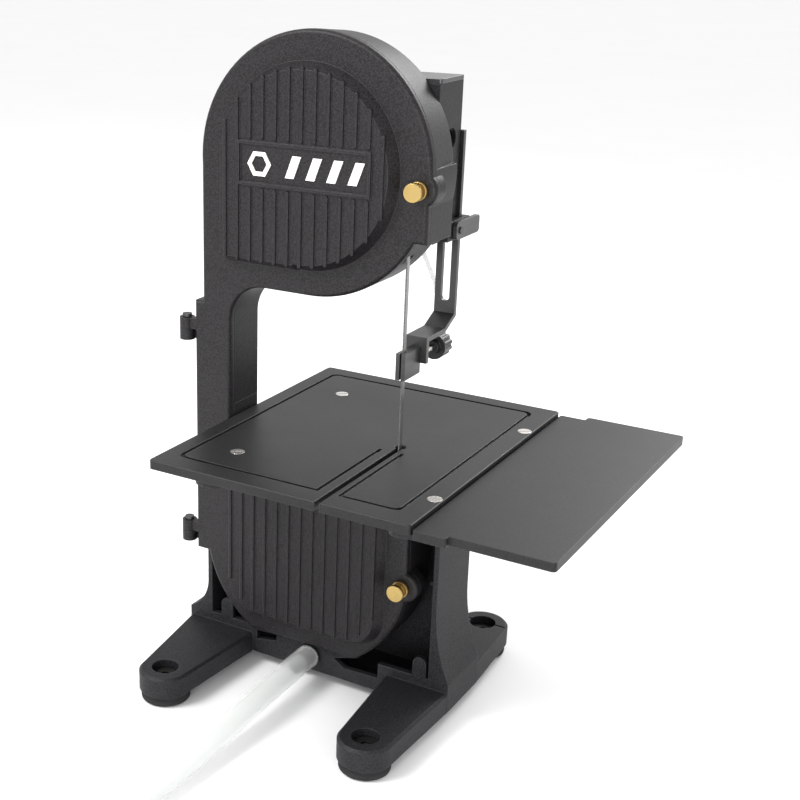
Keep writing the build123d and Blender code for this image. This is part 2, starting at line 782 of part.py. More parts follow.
# ---- wheels, blade and tension ------------------------------------------------------------------
tyre_thick = 2.7
tyre_r = blade_radius - blade_thickness / 2 - blade_gap
rim_r = tyre_r - tyre_thick
rim_half = 6.0
wheel_hub_r = 17.0
upper_bearing_r = 11.0
wheel_hub_back = blade_y + 10.5


def wheel(z, bore_r):
    """Cast wheel: rim, web with five windows and a hub."""
    rim = tube_y(wheel_x, z, blade_y - rim_half, blade_y + rim_half, rim_r, rim_r - 5)
    web = tube_y(wheel_x, z, blade_y - 2, blade_y + 2, rim_r - 4, wheel_hub_r - 2)
    hub = rod_y(wheel_x, z, blade_y - 7.5, wheel_hub_back, wheel_hub_r)
    mid = (rim_r + wheel_hub_r) / 2 - 1
    for i in range(5):
        a = math.radians(90 + 72 * i)
        web -= rod_y(wheel_x + mid * math.cos(a), z + mid * math.sin(a), blade_y - 5, blade_y + 5, 14.5)
    return rim + web + hub - rod_y(wheel_x, z, blade_y - 10, wheel_hub_back + 2, bore_r)


def tyre(z):
    return tube_y(wheel_x, z, blade_y - rim_half, blade_y + rim_half, tyre_r, rim_r)


def upper_bearings():
    z = upper_axle_z
    spans = [(blade_y - 7.5, blade_y - 0.5), (wheel_hub_back - 7, wheel_hub_back)]
    return group(tube_y(wheel_x, z, a, b, upper_bearing_r, axle_r + fit_clearance) for a, b in spans)


def upper_axle():
    z = upper_axle_z
    axle = rod_y(wheel_x, z, blade_y - 12.0, carriage_y1, axle_r)
    axle += rod_y(wheel_x, z, wheel_hub_back + 0.4, frame_back - back_plate - 0.4, 8.0)
    return axle


def upper_axle_nut():
    y = blade_y - 8.0
    nut = hex_nut_y(wheel_x, upper_axle_z, y - 3.6, y - 0.8, 15, axle_r)
    return nut + tube_y(wheel_x, upper_axle_z, y - 0.9, y + 0.1, 8.0, axle_r)


def tension_carriage():
    z = upper_axle_z
    body = block(wheel_x - carriage_half, wheel_x + carriage_half, carriage_y0, carriage_y1, z - 15, z + 18)
    body -= rod_y(wheel_x, z, carriage_y0 - 1, carriage_y1 + 1, axle_r)
    return body - rod_z(wheel_x, tension_y, z + axle_r + 1.5, z + 19, tension_rod_r + fit_clearance)


def carriage_cover():
    """Plate behind the rails that keeps the carriage in its slide."""
    half = carriage_half + rail_gap + 7
    y0 = carriage_y1 + 0.3
    cover = block(wheel_x - half, wheel_x + half, y0, y0 + 2.5, upper_axle_z - 24, upper_axle_z + 20)
    for x, z in carriage_screw_points():
        cover -= rod_y(x, z, y0 - 1, y0 + 4, 1.6)
    return cover


def carriage_screw_points():
    off = carriage_half + rail_gap + 3.5
    return [(wheel_x + sx * off, upper_axle_z + dz) for sx in (-1, 1) for dz in (-18, 15)]


spring_z1 = lug_z1 + 17.0
spring_r = 6.6
spring_wire = 0.8


def tension_spring():
    """Compression spring between the lug and the tension knob, with flat end rings."""
    turns, low, high = 6.0, lug_z1 + spring_wire, spring_z1 - spring_wire
    path = Pos(wheel_x, tension_y, low) * Helix((high - low) / turns, high - low, spring_r)
    coil = sweep(Plane(origin=path @ 0, z_dir=path % 0) * Circle(spring_wire), path=path)
    for z in (low, high):
        coil += Pos(wheel_x, tension_y, z) * Torus(spring_r, spring_wire)
    return coil


def tension_rod():
    return rod_z(wheel_x, tension_y, upper_axle_z + axle_r + 2.5, spring_z1 + 14, tension_rod_r)


def tension_knob():
    knob = rod_z(wheel_x, tension_y, spring_z1 + 0.2, spring_z1 + 16, 11.0)
    for i in range(10):
        a = math.radians(36 * i)
        knob -= rod_z(wheel_x + 12.2 * math.cos(a), tension_y + 12.2 * math.sin(a), spring_z1 + 3,
                      spring_z1 + 17, 2.6)
    return knob - rod_z(wheel_x, tension_y, spring_z1 - 1, spring_z1 + 14, tension_rod_r)


def lower_shaft():
    return rod_y(wheel_x, lower_axle_z, blade_y - 12.0, belt_y + 7.0, lower_shaft_r)


def lower_wheel_nut():
    y = blade_y - 7.5
    return hex_nut_y(wheel_x, lower_axle_z, y - 4.4, y, 17, lower_shaft_r)


def lower_bearings():
    spans = [(hub_y0 + 2, hub_y0 + 2 + bearing_w), (hub_y1 - bearing_w, hub_y1)]
    return group(tube_y(wheel_x, lower_axle_z, a, b, lower_bearing_r, lower_shaft_r + fit_clearance)
                 for a, b in spans)


def blade():
    """The loop: two straight runs and two half circles."""
    half, r = blade_thickness / 2, blade_radius

    def loop(radius):
        shape = rect(wheel_x - radius, wheel_x + radius, lower_axle_z, upper_axle_z)
        return shape + disc(wheel_x, lower_axle_z, radius) + disc(wheel_x, upper_axle_z, radius)

    return slab(loop(r + half) - loop(r - half), blade_y - blade_width / 2, blade_y + blade_width / 2)


# ---- drive ---------------------------------------------------------------------------------------
base_back = base_front + base_depth
belt_y = base_back + 9.0
belt_half = 4.0
belt_thick = 2.4
driven_r = 26.0
driver_r = 10.0
motor_z = lower_axle_z - 61.0
motor_r = 31.0
motor_y0 = belt_y + 11.0
motor_length = 62.0
motor_shaft_r = 4.0
mount_thick = 4.0


def pulley(z, groove_r, bore_r):
    body = rod_y(wheel_x, z, belt_y - belt_half, belt_y + belt_half, groove_r)
    for side in (-1, 1):
        y = belt_y + side * (belt_half + 0.9)
        body += rod_y(wheel_x, z, y - 1.0, y + 1.0, groove_r + 3.5)
    return body - rod_y(wheel_x, z, belt_y - 10, belt_y + 10, bore_r)


def belt_outline(r_top, r_low):
    """Two circles and their outer tangents."""
    gap = lower_axle_z - motor_z
    lean = math.asin((r_top - r_low) / gap)
    pts = []
    for z, r, side in ((lower_axle_z, r_top, 1), (lower_axle_z, r_top, -1), (motor_z, r_low, -1),
                       (motor_z, r_low, 1)):
        pts.append((wheel_x + side * r * math.cos(lean), z + r * math.sin(lean)))
    shape = Polygon(*pts, align=None)
    return shape + disc(wheel_x, lower_axle_z, r_top) + disc(wheel_x, motor_z, r_low)


def drive_belt():
    inner = belt_outline(driven_r + 0.3, driver_r + 0.3)
    outer = belt_outline(driven_r + 0.3 + belt_thick, driver_r + 0.3 + belt_thick)
    return slab(outer - inner, belt_y - belt_half + 0.5, belt_y + belt_half - 0.5)


def post_points():
    return [(wheel_x + sx * 37.5, z) for sx in (-1, 1) for z in (motor_z - 33, motor_z + 33)]


def motor_mount():
    y1 = motor_y0
    mount = slab(rounded(wheel_x - 43.5, wheel_x + 43.5, motor_z - 39, motor_z + 39, 5), y1 - mount_thick, y1)
    mount -= rod_y(wheel_x, motor_z, y1 - 6, y1 + 1, 13)
    for x, z in post_points():
        mount += rod_y(x, z, base_back, y1 - mount_thick + 0.5, 5.0)
        mount -= rod_y(x, z, base_back - 1, y1 + 1, 2.0)
    for x, z in motor_screw_points():
        mount -= rod_y(x, z, y1 - 6, y1 + 1, 2.0)
    return mount


def motor_screw_points():
    return [(wheel_x + 22 * math.cos(a), motor_z + 22 * math.sin(a))
            for a in (math.radians(45 + 90 * i) for i in range(4))]


def motor():
    y0, y1 = motor_y0, motor_y0 + motor_length
    body = rod_y(wheel_x, motor_z, y0, y1, motor_r)
    body += rod_y(wheel_x, motor_z, y0 - mount_thick + 0.5, y0 + 1, 12.5)
    for i in range(16):
        a = math.radians(22.5 * i)
        fin = block(motor_r - 1, motor_r + 2, y0 + 9, y1 - 9, -1, 1)
        body += Pos(wheel_x, 0, motor_z) * Rot(0, math.degrees(a), 0) * fin
    body -= rod_y(wheel_x, motor_z, y0 - mount_thick - 1, y0 + 14, motor_shaft_r + fit_clearance)
    for x, z in motor_screw_points():
        body -= rod_y(x, z, y0 - 1, y0 + 8, 1.9)
    return body


def motor_shaft():
    return rod_y(wheel_x, motor_z, belt_y - belt_half - 2.5, motor_y0 + 13, motor_shaft_r)


def front_screw(x, z, y_seat, y_tip, r):
    screw = rod_y(x, z, y_seat, y_tip, r) + rod_y(x, z, y_seat - r * 1.1, y_seat, r * 1.7)
    return screw - slab(Pos(x, z) * RegularPolygon(r * 0.9, 6), y_seat - r * 1.1 - 1, y_seat - r * 0.5)


def motor_screws():
    seat = motor_y0 - mount_thick
    fixings = [front_screw(x, z, seat, seat + 11, 1.9) for x, z in motor_screw_points()]
    posts = [cap_screw_y(x, z, base_back - base_wall + 0.5, motor_y0, 2.0) for x, z in post_points()]
    return group(fixings + posts)


cover_half = 48.0
cover_low = pad_height + 2.0
cover_high = lower_axle_z + 38.0
cover_wall = 2.5
cover_end = motor_y0 + motor_length + 12.0


def motor_cover():
    x0, x1 = wheel_x - cover_half, wheel_x + cover_half
    y0 = base_back + 0.1
    shell = block(x0, x1, y0, cover_end, cover_low, cover_high)
    shell = fillet(shell.edges().filter_by(Axis.Y), 6)
    shell -= block(x0 + cover_wall, x1 - cover_wall, y0 - 1, cover_end - cover_wall,
                   cover_low + cover_wall, cover_high - cover_wall)
    for z in tab_heights():
        for side in (-1, 1):
            edge = wheel_x + side * (cover_half - 1)
            tip = wheel_x + side * (cover_half + 11)
            shell += block(min(edge, tip), max(edge, tip), y0, y0 + 3, z - 6, z + 6)
    for x, z in tab_points():
        shell -= rod_y(x, z, y0 - 1, y0 + 4, 1.8)
    for i in range(7):
        z = motor_z - 18 + 6 * i
        shell -= block(wheel_x - 28, wheel_x + 28, cover_end - 4, cover_end + 1, z - 1.2, z + 1.2)
    shell -= switch_hole(0.0)
    return shell - inlet_hole(0.0)


def tab_heights():
    return (cover_low + 27, cover_high - 12)


def tab_points():
    return [(wheel_x + side * (cover_half + 6), z) for side in (-1, 1) for z in tab_heights()]


def motor_cover_screws():
    seat = base_back + 3.1
    return group(cap_screw_y(x, z, seat - 6.5, seat, 1.8) for x, z in tab_points())


switch_y = motor_y0 + 26.0
switch_z = lower_axle_z + 14.0
inlet_x = wheel_x + 18.0
inlet_z = lower_axle_z + 16.0


def switch_hole(grow):
    x = wheel_x - cover_half
    return block(x - 1, x + cover_wall + 1, switch_y - 10 - grow, switch_y + 10 + grow, switch_z - 7 - grow,
                 switch_z + 7 + grow)


def inlet_hole(grow):
    return block(inlet_x - 13.5 - grow, inlet_x + 13.5 + grow, cover_end - cover_wall - 1, cover_end + 1,
                 inlet_z - 10 - grow, inlet_z + 10 + grow)


def switch_housing():
    x = wheel_x - cover_half
    body = block(x - 1.6, x, switch_y - 12, switch_y + 12, switch_z - 9, switch_z + 9)
    body += block(x - 1, x + 16, switch_y - 9.8, switch_y + 9.8, switch_z - 6.8, switch_z + 6.8)
    return body - block(x - 3, x + 9, switch_y - 8.4, switch_y + 8.4, switch_z - 5.4, switch_z + 5.4)


def rocker_switch():
    """Two-way rocker, resting in its off position."""
    x = wheel_x - cover_half
    low = block(x - 2.0, x + 2.4, -7.6, 7.6, -5.0, 5.0)
    rocker = low - Pos(x - 3.9, 0, 0) * Rot(0, 0, 90) * Rot(0, 90, 0) * Cylinder(2.6, 30)
    rocker += Pos(x + 2.0, 0, 0) * Cylinder(1.8, 10.0)
    turned = Pos(x + 2.0, switch_y, switch_z) * Rot(0, 0, 8) * Pos(-x - 2.0, 0, 0) * rocker
    return turned


def power_inlet():
    y = cover_end
    body = block(inlet_x - 15.5, inlet_x + 15.5, y, y + 2, inlet_z - 12, inlet_z + 12)
    body += block(inlet_x - 13.3, inlet_x + 13.3, y - 17, y + 0.5, inlet_z - 9.8, inlet_z + 9.8)
    body -= block(inlet_x - 11.5, inlet_x + 11.5, y - 14, y + 3, inlet_z - 8, inlet_z + 8)
    for dx, dz in ((-7, -1.5), (0, 2.5), (7, -1.5)):
        body += block(inlet_x + dx - 1, inlet_x + dx + 1, y - 15, y - 3, inlet_z + dz - 2, inlet_z + dz + 2)
    return body


# ---- blade guide ----------------------------------------------------------------------------------
bar_x = wx(blade_radius)
bar_top = table_height + 226.0
bend_high = table_height + 88.0
bend_low = table_height + 79.5
bar_reach = face_y + 34.8
guide_screw_z = table_height + 66.0
guide_low = table_height + 54.0
guide_high = table_height + 74.0
guide_front = face_y + 8.0


def guide_bar():
    """Flat bar, bent forward under the housing and down behind the guide block."""
    path = Polyline((bar_y, bar_top), (bar_y, bend_high), (bar_y - 17, bend_low), (bar_reach, bend_low),
                    (bar_reach, guide_screw_z - 4.6))
    strip = trace(path, bar_thick)
    bar = extrude(Plane.YZ.offset(bar_x - bar_width / 2) * strip, bar_width)
    slot = Pos(bar_x, (table_height + 98 + bar_top - 14) / 2) * SlotOverall(
        bar_top - 14 - table_height - 98, 7.0, rotation=90)
    bar -= slab(slot, bar_y - 5, bar_y + 5)
    return bar - rod_y(bar_x, guide_screw_z, bar_reach - 5, bar_reach + 5, 2.7)


def guide_bracket():
    """Block on the frame's arm with a window that the bar slides in."""
    x0, x1 = wx(62.0), bar_x + bar_width / 2 + 3.4
    low, high = bracket_low, bracket_low + 14
    body = block(x0, x1, bracket_front, bar_y + 8, low, high)
    body -= block(bar_x - bar_width / 2 - 0.4, bar_x + bar_width / 2 + 0.4, bar_y - bar_thick / 2 - 0.4,
                  bar_y + bar_thick / 2 + 0.4, low - 1, high + 1)
    body -= rod_x(lever_y, lever_z, x1 - 12, x1 + 1, 2.0)
    for x in bracket_screw_xs():
        body -= rod_y(x, low + 7, bracket_front - 1, bracket_front + 9, 1.8)
    return body


lever_y = face_y + 66.0
lever_z = bracket_low + 7.0
lever_thick = 3.2


def bracket_screw_xs():
    return (wx(65.5), wx(76.5))


def lever_pin():
    x1 = bar_x + bar_width / 2 + 3.4
    pin = rod_x(lever_y, lever_z, x1 - 11, x1 + lever_thick + 0.8, 2.0)
    return pin + rod_x(lever_y, lever_z, x1 + lever_thick + 0.7, x1 + lever_thick + 1.4, 2.6)


def guide_clamp_lever():
    x0 = bar_x + bar_width / 2 + 3.7
    shape = rounded(lever_y - 6.5, face_y + 99, lever_z - 6.5, lever_z + 6.5, 3)
    lever = extrude(Plane.YZ.offset(x0) * shape, lever_thick)
    return lever - rod_x(lever_y, lever_z, x0 - 1, x0 + 6, 2.0 + fit_clearance)


def guide_block():
    y1 = bar_reach - bar_thick / 2
    body = block(bar_x - 3.8, bar_x + 3.8, guide_front, y1, guide_low, guide_high)
    body -= block(bar_x - 0.7, bar_x + 0.7, guide_front - 1, blade_y + blade_width / 2 + 0.5, guide_low - 1,
                  guide_high + 1)
    return body - rod_y(bar_x, guide_screw_z, y1 - 9, y1 + 1, 2.5 + fit_clearance)


def guide_screw():
    y = bar_reach - bar_thick / 2
    return rod_y(bar_x, guide_screw_z, y - 8, knob_y + 8, 2.5)


def guide_nut():
    y = bar_reach + bar_thick / 2 + 0.2
    return hex_nut_y(bar_x, guide_screw_z, y, y + 4, 8.4, 2.5)


knob_y = face_y + 62.0


def guide_knob():
    knob = rod_y(bar_x, guide_screw_z, knob_y, knob_y + 13, knob_r)
    knob += rod_y(bar_x, guide_screw_z, knob_y - 5, knob_y + 1, 6.0)
    for i in range(12):
        a = math.radians(30 * i)
        knob -= rod_y(bar_x + (knob_r + 0.9) * math.cos(a), guide_screw_z + (knob_r + 0.9) * math.sin(a),
                      knob_y + 1.5, knob_y + 14, 1.9)
    return knob - rod_y(bar_x, guide_screw_z, knob_y - 6, knob_y + 8, 2.5)


def lower_blade_guide():
    y1 = frame_back - back_plate
    x, z0 = wx(blade_radius), lower_axle_z + 44
    body = block(x - 4, x + 4, blade_y - 5, y1, z0, z0 + 16)
    return body - block(x - 0.8, x + 0.8, blade_y - 6, blade_y + blade_width / 2 + 0.5, z0 - 1, z0 + 17)


# ---- water feed -------------------------------------------------------------------------------------
def reservoir():
    x0, x1 = wx(shroud_left) + shroud_wall + 0.4, wx(shroud_right) - shroud_wall - 0.4
    y0, y1 = frame_back + 2.4, shroud_back - shroud_wall - 0.4
    tank = block(x0, x1, y0, y1, tank_floor, shroud_top - 1)
    tank -= block(x0 + 1.8, x1 - 1.8, y0 + 1.8, y1 - 1.8, tank_floor + 1.8, shroud_top)
    tank += rod_z(valve_x, valve_y, tank_floor - shroud_wall - 3, tank_floor + 1, 4.0)
    return tank - rod_z(valve_x, valve_y, tank_floor - 10, tank_floor + 3, 1.6)


def reservoir_lid():
    x0, x1 = wx(shroud_left) - 0.6, wx(shroud_right) + 0.6
    y0, y1 = frame_back + 0.2, shroud_back + 0.3
    lid = plate(plan(x0, x1, y0, y1, 2), shroud_top + 0.1, shroud_top + 3.2)
    plug = block(x0 + 7, x1 - 7, y0 + 7, y1 - 8, shroud_top - 4, shroud_top + 0.5)
    hollow = block(x0 + 9, x1 - 9, y0 + 9, y1 - 10, shroud_top - 5, shroud_top + 0.1)
    return lid + plug - hollow


def drip_valve():
    z1 = tank_floor - shroud_wall - 3
    body = rod_z(valve_x, valve_y, valve_low + 8, z1, 5.0)
    body += rod_z(valve_x, valve_y, valve_low - 0.0, valve_low + 9, tube_od / 2)
    body += rod_y(valve_x, valve_low + 14, valve_y, valve_y + 8, 4.2)
    body -= rod_y(valve_x, valve_low + 14, valve_y + 1, valve_y + 9, 2.0 + fit_clearance)
    return body


def drip_valve_knob():
    z = valve_low + 14
    knob = rod_y(valve_x, z, valve_y + 2, valve_y + 10, 2.0)
    knob += rod_y(valve_x, z, valve_y + 8.5, valve_y + 13, 5.0)
    return knob + block(valve_x - 1.6, valve_x + 1.6, valve_y + 9, valve_y + 13, z - 13, z)


# ---- every node ----------------------------------------------------------------------------------------
NODES = {
    "base": base, "foot_pads": foot_pads, "foot_washers": foot_washers, "drain_spout": drain_spout,
    "drain_hose": drain_hose, "lower_housing": lower_housing, "upper_frame": upper_frame,
    "column_splice": column_splice, "frame_screws": frame_screws,
    "hinge_pins": hinge_pins, "front_cover": front_cover, "cover_badge": cover_badge,
    "upper_thumb_screw": lambda: thumb_screw(upper_ear_z),
    "lower_thumb_screw": lambda: thumb_screw(lower_ear_z),
    "table_frame": table_frame, "table": table, "table_screws": table_screws,
    "extension_table": extension_table, "extension_screws": extension_screws,
    "upper_wheel": lambda: wheel(upper_axle_z, upper_bearing_r), "upper_tyre": lambda: tyre(upper_axle_z),
    "upper_bearings": upper_bearings, "upper_axle": upper_axle, "upper_axle_nut": upper_axle_nut,
    "tension_carriage": tension_carriage, "carriage_cover": carriage_cover,
    "tension_spring": tension_spring, "tension_rod": tension_rod,
    "tension_knob": tension_knob,
    "lower_wheel": lambda: wheel(lower_axle_z, lower_shaft_r), "lower_tyre": lambda: tyre(lower_axle_z),
    "lower_shaft": lower_shaft, "lower_wheel_nut": lower_wheel_nut, "lower_bearings": lower_bearings,
    "blade": blade, "driven_pulley": lambda: pulley(lower_axle_z, driven_r, lower_shaft_r),
    "motor_pulley": lambda: pulley(motor_z, driver_r, motor_shaft_r), "drive_belt": drive_belt,
    "motor_shaft": motor_shaft, "motor": motor, "motor_mount": motor_mount, "motor_screws": motor_screws,
    "motor_cover": motor_cover, "motor_cover_screws": motor_cover_screws,
    "switch_housing": switch_housing, "rocker_switch": rocker_switch, "power_inlet": power_inlet,
    "guide_bracket": guide_bracket,
    "guide_clamp_lever": guide_clamp_lever, "guide_bar": guide_bar, "guide_block": guide_block,
    "guide_screw": guide_screw, "guide_nut": guide_nut, "guide_knob": guide_knob,
    "lower_blade_guide": lower_blade_guide, "reservoir": reservoir, "reservoir_lid": reservoir_lid,
    "drip_valve": drip_valve, "drip_valve_knob": drip_valve_knob, "drip_tube": drip_tube,
}


def main():
    os.makedirs("parts", exist_ok=True)
    for name, make in NODES.items():
        export_step(make(), "parts/" + name + ".step")


main()
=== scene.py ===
"""Looks for a bench-top wet band saw: finishes, hoses, small turned parts, floor, lights and camera."""
import math

import bmesh
import bpy
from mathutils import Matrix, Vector


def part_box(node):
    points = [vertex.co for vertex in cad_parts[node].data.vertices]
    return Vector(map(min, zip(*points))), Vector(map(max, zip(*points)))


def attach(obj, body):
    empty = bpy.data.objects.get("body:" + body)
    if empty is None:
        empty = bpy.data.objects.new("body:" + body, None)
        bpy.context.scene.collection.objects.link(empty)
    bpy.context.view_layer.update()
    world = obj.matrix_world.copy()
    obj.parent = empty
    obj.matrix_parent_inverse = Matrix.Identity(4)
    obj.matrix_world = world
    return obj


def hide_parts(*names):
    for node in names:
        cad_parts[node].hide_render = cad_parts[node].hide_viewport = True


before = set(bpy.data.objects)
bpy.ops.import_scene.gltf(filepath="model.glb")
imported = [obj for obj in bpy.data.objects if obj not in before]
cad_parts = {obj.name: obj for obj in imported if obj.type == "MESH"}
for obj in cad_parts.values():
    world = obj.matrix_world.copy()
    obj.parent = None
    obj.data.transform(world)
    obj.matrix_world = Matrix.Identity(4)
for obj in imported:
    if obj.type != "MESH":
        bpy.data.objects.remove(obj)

bl_info = {
    "name": "Trim Saw Looks",
    "version": (1, 0, 0),
    "blender": (4, 5, 0),
    "location": "View3D > Sidebar > Trim Saw",
    "description": "Finishes and small parts for a bench-top wet band saw",
    "category": "Object",
}

MM = 0.001

EDGE_REACH = 1.6                # how far past its rounding an edge's painted highlight reaches
FINE_RELIEF = 0.00002           # depth of scuffs and tool marks, in metres
BEVEL_SAMPLES = 6

HOSE_RADIUS = 9.5 * MM
DRIP_TUBE_RADIUS = 2.3 * MM
DRIP_TUBE_SIDES = 20

THUMB_RADIUS = 6.4 * MM
THUMB_DISCS = (("cap", 0.3, 3.1), ("collar", 7.9, 11.4))    # ends in mm behind the front face

FLOOR_HALF = 14.0
FLOOR_HEIGHT = -0.0004
LIGHT_AIM = (0.0, 0.0, 0.25)
CAMERA_PLACE = (0.4856, -0.8734, 0.5846)
CAMERA_TILT = 19.97             # degrees below level
CAMERA_TURN = 33.49             # degrees round to the right of square on
CAMERA_SHIFT = (0.2063, 0.0226)
SENSOR_WIDTH = 36.0


def corners(node):
    """A node's lowest and highest corner, in metres."""
    low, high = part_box(node)
    return Vector(low), Vector(high)


def middle(node):
    low, high = corners(node)
    return (low + high) / 2


# ---- shader maths ------------------------------------------------------------------------------
class Val:
    """A socket that adds Math nodes when it is used in an expression."""

    def __init__(self, finish, socket):
        self.finish = finish
        self.socket = socket

    def maths(self, operation, *values):
        sockets = {i: v for i, v in enumerate(values)}
        return self.finish.node("ShaderNodeMath", {"operation": operation}, sockets)

    def __add__(self, other):
        return self.maths("ADD", self, other)

    def __radd__(self, other):
        return self.maths("ADD", other, self)

    def __sub__(self, other):
        return self.maths("SUBTRACT", self, other)

    def __rsub__(self, other):
        return self.maths("SUBTRACT", other, self)

    def __mul__(self, other):
        return self.maths("MULTIPLY", self, other)

    def step(self, low, high):
        """0 below low, 1 above high, smooth between."""
        settings = {"interpolation_type": "SMOOTHSTEP"}
        return self.finish.node("ShaderNodeMapRange", settings, {0: self, 1: low, 2: high})


class Finish:
    """One material, built around a Principled shader."""

    def __init__(self, name, **constants):
        self.material = bpy.data.materials.new(name)
        self.material.use_nodes = True
        self.tree = self.material.node_tree
        self.shader = next(n for n in self.tree.nodes if n.type == "BSDF_PRINCIPLED")
        for key, value in constants.items():
            self.shader.inputs[key.replace("_", " ")].default_value = value

    def join(self, socket, value):
        if isinstance(value, Val):
            self.tree.links.new(value.socket, socket)
        else:
            socket.default_value = value

    def node(self, kind, settings=None, sockets=None, out=0):
        made = self.tree.nodes.new(kind)
        for key, value in (settings or {}).items():
            setattr(made, key, value)
        for key, value in (sockets or {}).items():
            self.join(made.inputs[key], value)
        return Val(self, made.outputs[out])

    def place(self):
        return self.node("ShaderNodeTexCoord", out=3)

    def stretched(self, scale):
        return self.node("ShaderNodeMapping", {}, {"Vector": self.place(), "Scale": scale})

    def noise(self, scale, detail=3.0, where=None, roughness=0.55):
        sockets = {"Vector": where or self.place(), "Scale": scale, "Detail": detail,
                   "Roughness": roughness}
        return self.node("ShaderNodeTexNoise", {}, sockets)

    def cells(self, scale):
        return self.node("ShaderNodeTexVoronoi", {}, {"Vector": self.place(), "Scale": scale})

    def mix(self, factor, low, high):
        settings = {"data_type": "RGBA"}
        return self.node("ShaderNodeMix", settings, {0: factor, 6: low, 7: high}, out=2)

    def bevel(self, radius):
        return self.node("ShaderNodeBevel", {"samples": BEVEL_SAMPLES}, {"Radius": radius})

    def edge_mask(self, radius, low, high):
        """1 on outside edges and corners, 0 on flats."""
        flat = self.node("ShaderNodeNewGeometry", out=1)
        turned = self.node("ShaderNodeVectorMath", {"operation": "DOT_PRODUCT"},
                           {0: self.bevel(radius * EDGE_REACH), 1: flat}, out=1)
        return (1 - turned).step(low, high)

    def relief(self, height, depth, radius=0.0):
        """Bumps of a real depth; a radius also rounds the sharp edges to the eye."""
        sockets = {"Height": height, "Distance": depth, "Strength": 1.0}
        if radius:
            sockets["Normal"] = self.bevel(radius)
        return self.node("ShaderNodeBump", {}, sockets)

    def set(self, name, value):
        self.join(self.shader.inputs[name], value)


def grey(value, warm=0.0):
    return (value * (1 + warm), value, value * (1 - warm), 1.0)


def tint(colour, factor):
    return tuple(c * factor for c in colour[:3]) + (1.0,)


def moulded(name, colour, grain=1100.0, depth=0.0002, rough=0.42, edge=0.0008, level=0.28,
            edge_highlight_strength=0.6):
    """Injection-moulded plastic: spark texture, a painted highlight on its edges and faint handling
    marks.
    """
    f = Finish(name, Specular_IOR_Level=level)
    grains = f.noise(grain, detail=2.0, roughness=0.6)
    specks = f.cells(grain * 0.75)
    clouds = f.noise(scale=22.0, detail=4.0)
    # edge mask scaled by the strength of the painted edge highlight; it also makes the edges glossier
    edges = f.edge_mask(edge, low=0.02, high=0.16) * edge_highlight_strength
    pale, dark, dust, painted_edge_highlight = (tint(colour, factor) for factor in (2.1, 0.6, 1.7, 3.4))
    speckled = f.mix(specks.step(low=0.1, high=0.75), pale, dark)
    dusty = f.mix(clouds.step(low=0.42, high=0.78) * 0.35, speckled, dust)
    # the edges are painted lighter here: a painted highlight along every outside edge
    f.set("Base Color", f.mix(edges, dusty, painted_edge_highlight))
    f.set("Roughness", rough + clouds * 0.12 - edges * 0.16)
    f.set("Normal", f.relief(grains * 0.6 + specks * 0.4, depth, edge))
    return f.material


def smooth_plastic(name, colour, rough=0.3, edge=0.0005, level=0.5):
    """Satin or glossy moulding with fine scuffs and a painted highlight on its edges."""
    f = Finish(name, Specular_IOR_Level=level)
    scuffs = f.noise(scale=260.0, detail=5.0, where=f.stretched((1.0, 0.15, 1.0)))
    clouds = f.noise(scale=35.0, detail=3.0)
    edges = f.edge_mask(edge, low=0.03, high=0.2) * 0.5
    base = f.mix(clouds.step(low=0.35, high=0.7), tint(colour, 0.8), tint(colour, 1.35))
    # the edges are painted lighter here: a painted highlight along every outside edge
    f.set("Base Color", f.mix(edges, base, tint(colour, 2.6)))
    f.set("Roughness", rough + scuffs * 0.16)
    f.set("Normal", f.relief(scuffs, FINE_RELIEF, edge))
    return f.material


def metal(name, colour, rough=0.28, grain=(1.0, 1.0, 1.0), scale=900.0, edge=0.0003, stain=0.25):
    """Worked metal with its tool marks, a little tarnish and a painted highlight on its edges."""
    f = Finish(name)
    marks = f.noise(scale, detail=3.0, where=f.stretched(grain))
    patches = f.noise(scale=95.0, detail=4.0)
    edges = f.edge_mask(edge, low=0.03, high=0.2)
    tarnish = patches.step(low=0.45, high=0.8) * stain
    base = f.mix(tarnish, colour, tint(colour, 0.42))
    # the edges are painted brighter here: a painted highlight along every outside edge
    f.set("Base Color", f.mix(edges * 0.5, base, tint(colour, 1.25)))
    f.set("Metallic", 1.0)
    f.set("Roughness", rough + marks * 0.18 + tarnish * 0.5)
    f.set("Normal", f.relief(marks, FINE_RELIEF, edge))
    return f.material


def rubbery(name, colour, rough=0.72):
    """Moulded rubber: matt, finely pitted, greyed with dust."""
    f = Finish(name, Specular_IOR_Level=0.3)
    pits = f.noise(scale=1500.0, detail=2.0)
    dust = f.noise(scale=60.0, detail=5.0)
    f.set("Base Color", f.mix(dust.step(low=0.4, high=0.75) * 0.6, colour, tint(colour, 2.6)))
    f.set("Roughness", rough + dust * 0.15)
    f.set("Normal", f.relief(pits, 0.0001, 0.0006))
    return f.material


def clear_tube(name, colour, thin, thick, rough=0.1):
    """Soft clear tube: nearly invisible face on, milky along its sides."""
    f = Finish(name, Specular_IOR_Level=0.6)
    side = f.node("ShaderNodeLayerWeight", {}, {"Blend": 0.35}, out=1)
    haze = f.noise(scale=70.0, detail=4.0)
    ripple = f.noise(scale=38.0, detail=2.0, where=f.stretched((1.0, 0.3, 1.0)))
    f.set("Base Color", f.mix(haze.step(low=0.35, high=0.8), colour, tint(colour, 0.88)))
    f.set("Roughness", rough + haze * 0.16)
    f.set("Alpha", thin + side * (thick - thin) + haze * 0.08)
    f.set("Normal", f.relief(ripple, 0.0006))
    return f.material


def clear_moulding(name, colour, alpha):
    """Clear moulded tank with a faint haze."""
    f = Finish(name, Specular_IOR_Level=0.5)
    haze = f.noise(scale=80.0, detail=4.0)
    f.set("Base Color", f.mix(haze.step(low=0.4, high=0.8), colour, tint(colour, 0.8)))
    f.set("Roughness", 0.12 + haze * 0.2)
    f.set("Alpha", alpha + haze * 0.15)
    f.set("Normal", f.relief(haze, 0.0001, 0.0004))
    return f.material


